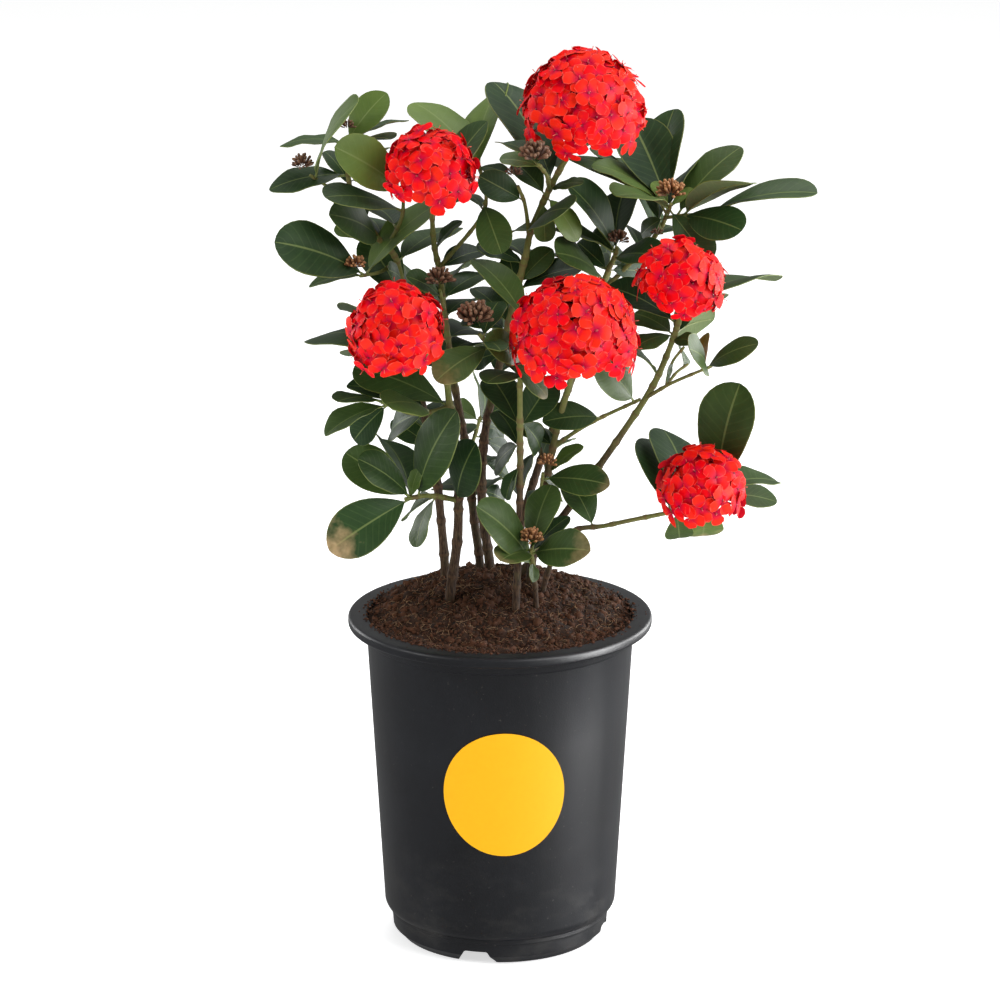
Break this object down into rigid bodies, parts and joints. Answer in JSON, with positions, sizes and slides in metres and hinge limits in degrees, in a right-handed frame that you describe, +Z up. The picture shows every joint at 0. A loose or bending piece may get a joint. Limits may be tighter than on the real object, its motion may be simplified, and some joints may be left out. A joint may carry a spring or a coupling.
{
  "type": "potted ixora",
  "caption": "Flowering ixora shrub with domed red flower heads and bud clusters on leafy woody stems, standing in a round nursery pot of potting mix",
  "frame": {"origin": "on the ground at the middle of the pot's base", "axes": "+Z up along the pot's axis, -Y to the front where the label is, +X to the right seen from the front"},
  "size_m": [0.4148, 0.314, 0.7014],
  "materials": {
    "pot": "charcoal black recycled nursery plastic, satin, a little dusty low down",
    "label": "plain yellow film sticker",
    "potting_mix": "moist shredded bark and coir",
    "foliage": "thick waxy dark green leaves on grey-brown to green stems",
    "petals": "soft matt scarlet petals with coral edges",
    "buds": "dull brown unopened buds"
  },
  "bodies": {
    "root": {"pot": "pot", "label": "label", "potting_mix": "potting_mix", "left_stem": "foliage", "left_back_stem": "foliage", "left_inner_stem": "foliage", "centre_back_stem": "foliage", "front_stem": "foliage", "centre_stem": "foliage", "right_stem": "foliage", "right_back_stem": "foliage", "low_right_stem": "foliage", "front_shoot": "foliage", "bloom_top": "petals", "bloom_upper_left": "petals", "bloom_left": "petals", "bloom_centre": "petals", "bloom_right": "petals", "bloom_low_right": "petals", "buds_far_left": "buds", "buds_upper_left": "buds", "buds_left": "buds", "buds_inner_left": "buds", "buds_middle": "buds", "buds_under_top": "buds", "buds_back": "buds", "buds_right": "buds", "buds_inner_right": "buds", "buds_small_right": "buds", "buds_low": "buds", "buds_front": "buds"}
  },
  "joints": []
}
